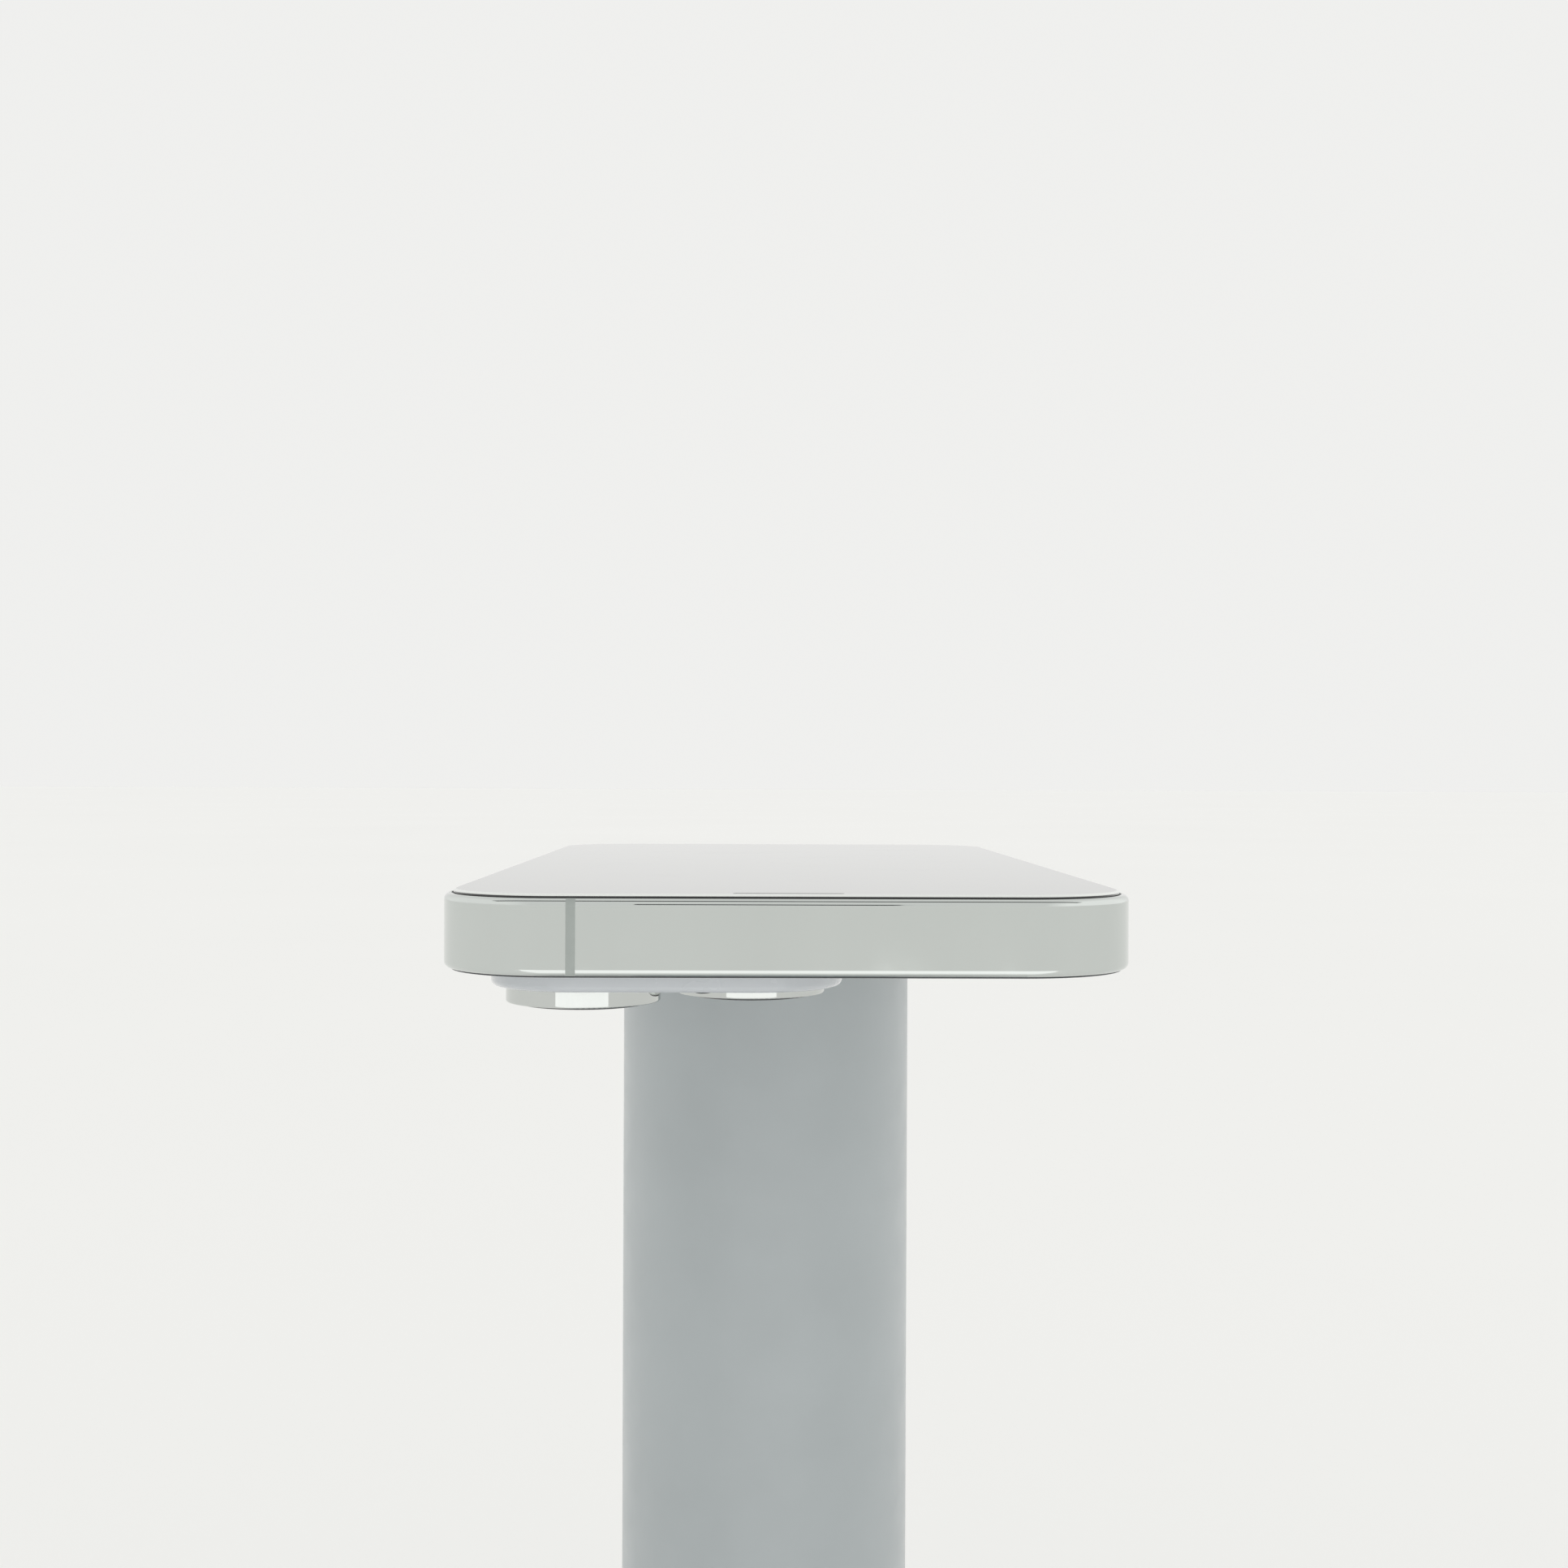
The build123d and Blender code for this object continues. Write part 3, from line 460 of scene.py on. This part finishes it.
@dataclass(frozen=True)
class CoilWound(Finish):
    """Enamelled wire wound flat round one axis."""

    centre: tuple[float, float, float] = (0.0, 0.0, 0.0)
    pitch: float = 0.5
    wire_depth: float = 60.0

    def texture(self, recipe: Recipe) -> None:
        """Add the turns of wire.

        Args:
            recipe: The material in the making.
        """
        super().texture(recipe)
        recipe.relief(recipe.rings(Vector(self.centre), self.pitch), self.wire_depth)


@dataclass(frozen=True)
class CircuitBoard(Finish):
    """Solder mask over copper tracks."""

    track_spacing: float = 6.0
    track_width: float = 0.03

    def paint(self, recipe: Recipe) -> None:
        """Paint the mask with lighter tracks below it.

        Args:
            recipe: The material in the making.
        """
        tracks = recipe.nodes.new("ShaderNodeTexBrick")
        tracks.inputs["Scale"].default_value = 1.0 / (self.track_spacing * MM)
        tracks.inputs["Mortar Size"].default_value = self.track_width
        tracks.inputs["Color1"].default_value = (0.0, 0.0, 0.0, 1.0)
        tracks.inputs["Color2"].default_value = (0.0, 0.0, 0.0, 1.0)
        tracks.inputs["Mortar"].default_value = (1.0, 1.0, 1.0, 1.0)
        recipe.links.new(recipe.place, tracks.inputs["Vector"])
        recipe.feed("Base Color", recipe.tint(tracks.outputs["Fac"], self.colour, self.shade(1.0)))


def dress(piece: bpy.types.Object, material: bpy.types.Material) -> None:
    """Give a piece one material in all its slots.

    Args:
        piece: The piece or CAD node.
        material: The material.
    """
    if not piece.data.materials:
        piece.data.materials.append(material)
    for index in range(len(piece.data.materials)):
        piece.data.materials[index] = material


def middle(node: str) -> Vector:
    """Centre of a CAD node's box."""
    low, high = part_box(node)
    return (low + high) / 2


@dataclass
class Workshop:
    """The frame's nodes, and the finishes mixed so far."""

    nodes: dict[str, bpy.types.Object]
    mixed: dict[str, bpy.types.Material] = field(default_factory=dict)

    def material(self, finish: Finish) -> bpy.types.Material:
        """Mix a finish once, and give the same material after that.

        Args:
            finish: The finish.

        Returns:
            Its material.
        """
        if finish.name not in self.mixed:
            self.mixed[finish.name] = finish.mix()
        return self.mixed[finish.name]

    def dress_nodes(self, finish: Finish, *names: str) -> None:
        """Give CAD nodes a finish.

        Args:
            finish: The finish.
            names: The nodes.
        """
        for name in names:
            dress(self.nodes[name], self.material(finish))
            LOG.info("%s wears %s", name, finish.name)


COLLAR_COLOUR: Colour = (0.60, 0.62, 0.605)
COIL_COLOUR: Colour = (0.55, 0.24, 0.12)
POST_COAT = SatinCoat(
    "post_satin_coat", (0.374, 0.408, 0.42), roughness=0.42, colour_spread=0.025,
    grain=Grain.EVEN, grain_size=0.35, relief=2.0, worn_edge=0.35,
)
BASE_COAT = SatinCoat(
    "base_satin_coat", (0.37, 0.40, 0.407), roughness=0.45, colour_spread=0.03,
    grain_size=0.4, relief=3.0, worn_edge=0.35,
)
ZINC = Finish(
    "zinc_plate", (0.46, 0.46, 0.45), metallic=1.0, roughness=0.34, colour_spread=0.15,
    grain_size=0.6, relief=3.0, worn_edge=0.3,
)
BLACK_STEEL = Finish(
    "black_oxide_steel", (0.06, 0.06, 0.065), metallic=1.0, roughness=0.38, grain_size=0.2, worn_edge=0.8,
)
BLUED_STEEL = Finish(
    "blued_spring_steel", (0.16, 0.18, 0.26), metallic=1.0, roughness=0.28, grain=Grain.LEVEL, grain_size=0.2,
)
RUBBER = Finish(
    "soft_rubber", (0.02, 0.02, 0.021), roughness=0.72, colour_spread=0.2, grain_size=0.15, relief=6.0,
)
ACETAL = Finish("acetal", (0.62, 0.61, 0.57), roughness=0.42, grain_size=0.5, relief=2.0)
NYLON = Finish("natural_nylon", (0.68, 0.67, 0.61), roughness=0.5, grain_size=0.6, relief=3.0)
BOARD = CircuitBoard("solder_mask", (0.012, 0.085, 0.035), roughness=0.3, grain_size=0.4, relief=4.0)
MOULDED_CHIP = Finish("moulded_chip", (0.016, 0.016, 0.018), roughness=0.5, grain_size=0.12, relief=3.0)
CELL_WRAP = Finish("cell_wrap", (0.05, 0.11, 0.26), roughness=0.3, grain_size=1.2, relief=8.0)
TURNED_ALUMINIUM = Finish(
    "turned_aluminium", (0.58, 0.585, 0.59), metallic=1.0, roughness=0.26, grain=Grain.LEVEL,
    grain_size=0.12, relief=1.0, worn_edge=0.2,
)
ANODISED = Finish(
    "anodised_grey", (0.30, 0.31, 0.315), metallic=0.85, roughness=0.36, grain=Grain.LEVEL,
    grain_size=0.12, relief=1.0, worn_edge=0.3,
)
NICKEL = Finish("nickel_plate", (0.66, 0.64, 0.59), metallic=1.0, roughness=0.14, grain_size=0.3)
GOLD = Finish("gold_plate", (0.83, 0.59, 0.24), metallic=1.0, roughness=0.18, grain_size=0.15, relief=0.5)
PUCK_PLASTIC = Finish(
    "puck_plastic", (0.03, 0.03, 0.032), roughness=0.5, grain_size=0.18, relief=6.0, worn_edge=0.5,
)
FOAM = Finish("adhesive_foam", (0.05, 0.05, 0.05), roughness=0.85, grain_size=0.25, relief=25.0)
BAND_STEEL = PolishedSteel(
    "polished_band", (0.61, 0.64, 0.622), metallic=1.0, roughness=0.022, colour_spread=0.02,
    grain=Grain.UPRIGHT, grain_size=0.4, relief=0.8,
)
BUTTON_STEEL = PolishedSteel(
    "polished_button", (0.63, 0.65, 0.64), metallic=1.0, roughness=0.03, colour_spread=0.02,
    grain_size=0.3, relief=0.5,
)
BAND_RESIN = Finish(
    "band_resin", (0.33, 0.36, 0.343), roughness=0.42, colour_spread=0.03, grain_size=0.08, relief=1.5,
)
SEAL = Finish("seal", (0.038, 0.042, 0.046), roughness=0.35, grain_size=0.1)
SCREEN = DarkScreen("dark_screen", (0.006, 0.0065, 0.008), colour_spread=0.1, relief=0.4)
BACK_GLASS = FrostedGlass(
    "frosted_back", (0.70, 0.71, 0.70), roughness=0.38, colour_spread=0.015, grain_size=0.15, relief=0.8,
)
DECK_GLASS = TintedGlass(
    "deck_glass", (0.48, 0.505, 0.53), roughness=0.22, colour_spread=0.02, grain_size=0.3, relief=0.3,
)
BARREL_BLACK = Finish("barrel_black", (0.012, 0.012, 0.013), roughness=0.6, grain_size=0.08, relief=3.0)
SENSOR_WINDOW = TintedGlass(
    "sensor_window", (0.010, 0.008, 0.010), roughness=0.08, colour_spread=0.1, grain_size=0.5, relief=0.1,
)
DIFFUSER = TintedGlass(
    "flash_diffuser", (0.80, 0.74, 0.56), roughness=0.25, colour_spread=0.05, grain_size=0.3, relief=1.0,
)
DISPLAY_BACK = Finish("display_laminate", (0.01, 0.01, 0.012), roughness=0.2, grain_size=0.5)
SHEET_METAL = Finish(
    "stamped_sheet", (0.55, 0.55, 0.54), metallic=1.0, roughness=0.3, grain=Grain.LENGTHWISE,
    grain_size=0.2, relief=1.0,
)


@dataclass(frozen=True)
class Flag:
    """A dark card in front of the handset: its elevation in degrees, its distance and its half sizes."""

    name: str
    rise: float
    away: float
    half_width: float
    half_height: float


@dataclass
class Studio:
    """A pale floor, a white room, cards that the polished parts reflect, and the camera.

    Lengths are in metres, clouds in millimetres, the camera's lens in millimetres and angles in degrees.
    """

    white: Colour = (1.0, 1.0, 0.985)
    floor_size: float = 60.0
    floor_dark: Colour = (0.916, 0.916, 0.904)
    floor_pale: Colour = (0.926, 0.926, 0.914)
    floor_cloud: float = 900.0
    floor_lift: float = 0.006
    room_light: float = 0.868
    left_light: float = 1.03
    right_light: float = 1.16
    side_start: float = 0.42
    side_full: float = 0.75
    card_light: float = 1.31
    card_unevenness: float = 0.02
    card_cloud: float = 60.0
    card_steps: int = 24
    card_height: float = 0.018
    card_near: float = 0.10
    card_far: float = 1.33
    card_left: float = 38.0
    card_right: float = 41.0
    felt_dark: Colour = (0.01, 0.012, 0.014)
    felt_pale: Colour = (0.02, 0.022, 0.024)
    felt_cloud: float = 5.0
    overhead: Flag = Flag("overhead_flag", rise=75.0, away=0.6, half_width=0.7, half_height=0.08)
    above_camera: Flag = Flag("small_flag", rise=14.0, away=0.25, half_width=0.03, half_height=0.022)
    lens: float = 44.99
    in_front: float = 0.1909
    beside: float = -0.00364
    above: float = 0.0114
    turn: float = 0.927
    tilt: float = 0.18
    roll: float = 0.22

    def build(self) -> None:
        """Set the stage, the light and the camera."""
        self.light_room()
        self.lay_floor()
        self.lay_card()
        self.hang_flags()
        self.set_camera()
        LOG.info("the studio is lit")

    def light_room(self) -> None:
        """A very pale world, a little brighter to both sides."""
        world = bpy.data.worlds.new("white_room")
        world.use_nodes = True
        nodes = world.node_tree.nodes
        links = world.node_tree.links
        sky = nodes["Background"]
        sky.inputs["Color"].default_value = (*self.white, 1.0)
        place = nodes.new("ShaderNodeTexCoord")
        split = nodes.new("ShaderNodeSeparateXYZ")
        links.new(place.outputs["Generated"], split.inputs["Vector"])
        brighter = nodes.new("ShaderNodeMath")
        brighter.operation = "MAXIMUM"
        for index, (side, level) in enumerate(((1, self.right_light), (-1, self.left_light))):
            ramp = nodes.new("ShaderNodeMapRange")
            ramp.inputs["From Min"].default_value = side * self.side_start
            ramp.inputs["From Max"].default_value = side * self.side_full
            ramp.inputs["To Min"].default_value = self.room_light
            ramp.inputs["To Max"].default_value = level
            links.new(split.outputs["X"], ramp.inputs["Value"])
            links.new(ramp.outputs["Result"], brighter.inputs[index])
        links.new(brighter.outputs["Value"], sky.inputs["Strength"])
        bpy.context.scene.world = world
        bpy.context.scene.view_settings.view_transform = "Standard"

    def lay_floor(self) -> None:
        """A plain pale floor under the stand."""
        half = self.floor_size / 2
        corners = ((-half, -half), (half, -half), (half, half), (-half, half))
        floor = self.sheet("studio_floor", [(x, y, 0.0) for x, y in corners])
        recipe = Recipe("floor_paper")
        cloud = recipe.spread(recipe.noise(self.floor_cloud), 0.0, 1.0)
        recipe.feed("Base Color", recipe.tint(cloud, self.floor_dark, self.floor_pale))
        recipe.set(Roughness=0.9, Emission_Color=(*self.white, 1.0), Emission_Strength=self.floor_lift)
        dress(floor, recipe.material)

    def lay_card(self) -> None:
        """A bright card that fans out in front of the stand, just above the floor."""
        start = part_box("phone_frame")[0].y
        sweep = self.card_right + self.card_left
        arcs = []
        for reach in (self.card_near, self.card_far):
            arc = []
            for step in range(self.card_steps + 1):
                angle = math.radians(self.card_right - sweep * step / self.card_steps)
                arc.append((reach * math.sin(angle), start - reach * math.cos(angle), self.card_height))
            arcs.append(arc)
        card = self.sheet("bright_card", arcs[0] + arcs[1][::-1])
        recipe = Recipe("card_glow")
        dim = self.card_light * (1.0 - self.card_unevenness)
        bright = self.card_light * (1.0 + self.card_unevenness)
        glow = recipe.spread(recipe.noise(self.card_cloud), dim, bright)
        recipe.set(Base_Color=(0.0, 0.0, 0.0, 1.0), Emission_Color=(*self.white, 1.0))
        recipe.feed("Emission Strength", glow)
        dress(card, recipe.material)
        card.visible_camera = False
        card.visible_shadow = False

    def hang_flags(self) -> None:
        """Two dark cards: one overhead and one small one above the camera."""
        low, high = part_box("phone_frame")
        felt = Recipe("flag_felt")
        felt.feed("Base Color", felt.tint(felt.noise(self.felt_cloud), self.felt_dark, self.felt_pale))
        felt.set(Roughness=0.95)
        aim = Vector(((low.x + high.x) / 2, low.y, high.z))
        for flag in (self.overhead, self.above_camera):
            card = self.tilted_card(flag, aim)
            dress(card, felt.material)
            card.visible_camera = False
            card.visible_shadow = False
            card.visible_diffuse = False

    def tilted_card(self, flag: Flag, aim: Vector) -> bpy.types.Object:
        """A card that faces a point from in front and above.

        Args:
            flag: The card's name, place and size.
            aim: The point it faces.

        Returns:
            The card.
        """
        angle = math.radians(flag.rise)
        centre = aim + flag.away * Vector((0.0, -math.cos(angle), math.sin(angle)))
        up = flag.half_height * Vector((0.0, math.sin(angle), math.cos(angle)))
        side = Vector((flag.half_width, 0.0, 0.0))
        lower, upper = centre - up, centre + up
        return self.sheet(flag.name, [lower - side, lower + side, upper + side, upper - side])

    def sheet(self, name: str, corners: Iterable[Sequence[float]]) -> bpy.types.Object:
        """A flat sheet that belongs to the stage.

        Args:
            name: The sheet's name.
            corners: Its corners, anticlockwise seen from its face.

        Returns:
            The sheet.
        """
        shape = bmesh.new()
        shape.faces.new([shape.verts.new(corner) for corner in corners])
        mesh = bpy.data.meshes.new(name)
        shape.to_mesh(mesh)
        shape.free()
        flat = bpy.data.objects.new(name, mesh)
        bpy.context.scene.collection.objects.link(flat)
        return flat

    def set_camera(self) -> None:
        """A level camera just above the screen, in front of the handset's top end."""
        low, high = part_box("phone_frame")
        screen_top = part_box("front_glass")[1].z
        data = bpy.data.cameras.new("camera")
        data.lens = self.lens
        data.clip_start = 0.01
        data.clip_end = 100.0
        camera = bpy.data.objects.new("camera", data)
        camera.location = ((low.x + high.x) / 2 + self.beside, low.y - self.in_front, screen_top + self.above)
        aim = Euler((math.radians(90.0 - self.tilt), 0.0, math.radians(-self.turn)))
        spin = Matrix.Rotation(math.radians(self.roll), 3, "Z")
        camera.rotation_euler = (aim.to_matrix() @ spin).to_euler()
        bpy.context.scene.collection.objects.link(camera)
        bpy.context.scene.camera = camera


@dataclass
class Stand:
    """Everything that stays on the counter: base, recoiler, alarm, post and dock."""

    shop: Workshop

    def build(self) -> None:
        """Dress the stand from the counter up."""
        self.dress_base()
        self.dress_recoiler()
        self.dress_alarm()
        self.dress_post()
        self.dress_dock()

    def dress_base(self) -> None:
        """Finish the cover, the plate and what touches the counter."""
        self.shop.dress_nodes(BASE_COAT, "base_cover")
        self.shop.dress_nodes(ZINC, "base_plate")
        self.shop.dress_nodes(RUBBER, "foot_ring", "cable_grommet")
        self.shop.dress_nodes(BLACK_STEEL, "base_screws", "post_screws")

    def dress_recoiler(self) -> None:
        """Finish the tether's reel and its spring."""
        self.shop.dress_nodes(ACETAL, "reel_drum")
        self.shop.dress_nodes(ZINC, "reel_spindle")
        self.shop.dress_nodes(BLUED_STEEL, "reel_clip", "reel_spring")

    def dress_alarm(self) -> None:
        """Finish the alarm's board and what stands on it."""
        self.shop.dress_nodes(BOARD, "alarm_board")
        self.shop.dress_nodes(MOULDED_CHIP, "alarm_components", "sounder")
        self.shop.dress_nodes(CELL_WRAP, "backup_cell")

    def dress_post(self) -> None:
        """Finish the post and what it hides."""
        self.shop.dress_nodes(POST_COAT, "post_tube")
        self.shop.dress_nodes(TURNED_ALUMINIUM, "post_foot")
        self.shop.dress_nodes(NYLON, "tether_tube")

    def dress_dock(self) -> None:
        """Finish the cup that the puck sits in."""
        self.shop.dress_nodes(ANODISED, "dock_cup")
        self.shop.dress_nodes(NICKEL, "dock_magnets")
        self.shop.dress_nodes(GOLD, "contact_pins")
        self.shop.dress_nodes(BOARD, "dock_board")


@dataclass
class Puck:
    """The puck glued under the handset."""

    shop: Workshop

    def build(self) -> None:
        """Dress the puck's shell, its contacts and its inside."""
        self.shop.dress_nodes(PUCK_PLASTIC, "puck_shell", "puck_cover")
        self.shop.dress_nodes(GOLD, "contact_ring")
        self.shop.dress_nodes(ZINC, "puck_keeper", "tether_ferrule")
        self.shop.dress_nodes(BOARD, "puck_board")
        self.shop.dress_nodes(FOAM, "adhesive_pad")


@dataclass
class Handset:
    """The demonstration handset."""

    shop: Workshop

    def build(self) -> None:
        """Dress the handset from its casing inwards."""
        self.dress_casing()
        self.dress_cameras()
        self.dress_controls()
        self.dress_inside()

    def dress_casing(self) -> None:
        """Finish the band and both sheets of glass."""
        self.shop.dress_nodes(BAND_STEEL, "phone_frame")
        self.shop.dress_nodes(BAND_RESIN, "antenna_bands")
        self.shop.dress_nodes(SCREEN, "front_glass")
        self.shop.dress_nodes(SEAL, "glass_gaskets")
        self.shop.dress_nodes(BACK_GLASS, "back_glass")

    def dress_cameras(self) -> None:
        """Finish the deck and the cameras in it."""
        self.shop.dress_nodes(DECK_GLASS, "camera_deck")
        for number in (1, 2, 3):
            name = "lens_ring_" + str(number)
            centre = middle(name)
            collar = TurnedSteel(
                "collar_steel_" + str(number), COLLAR_COLOUR, metallic=1.0, roughness=0.025,
                colour_spread=0.02, grain_size=0.3, relief=0.3, centre=tuple(centre),
            )
            self.shop.dress_nodes(collar, name)
        self.shop.dress_nodes(SENSOR_WINDOW, "lens_glasses", "depth_sensor_window")
        self.shop.dress_nodes(DIFFUSER, "flash_lens")
        self.shop.dress_nodes(BARREL_BLACK, "lens_barrels", "front_sensor_module")
        self.shop.dress_nodes(MOULDED_CHIP, "camera_sensors")

    def dress_controls(self) -> None:
        """Finish the buttons, the switch and the tray."""
        self.shop.dress_nodes(BUTTON_STEEL, "side_button", "volume_up_button", "volume_down_button")
        self.shop.dress_nodes(BUTTON_STEEL, "ring_switch", "sim_tray")
        self.shop.dress_nodes(MOULDED_CHIP, "button_switches")

    def dress_inside(self) -> None:
        """Finish what the casing hides."""
        coil = CoilWound(
            "coil_winding", COIL_COLOUR, metallic=0.8, roughness=0.3, grain_size=0.3,
            centre=tuple(middle("charging_coil")),
        )
        self.shop.dress_nodes(coil, "charging_coil")
        self.shop.dress_nodes(DISPLAY_BACK, "display_panel")
        self.shop.dress_nodes(SHEET_METAL, "mid_plate", "sim_reader", "board_shields", "charge_port")
        self.shop.dress_nodes(MOULDED_CHIP, "earpiece_speaker", "speaker_box")
        self.shop.dress_nodes(PUCK_PLASTIC, "battery")
        self.shop.dress_nodes(BOARD, "logic_board")
        self.shop.dress_nodes(ZINC, "end_screws")


def main() -> None:
    """Load the frame and build the pieces round it, in order."""
    logging.basicConfig(level=logging.INFO, format="%(name)s: %(message)s")
    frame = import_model()
    shop = Workshop(frame["nodes"])
    Studio().build()
    Stand(shop).build()
    Puck(shop).build()
    Handset(shop).build()


if __name__ == "__main__":
    main()
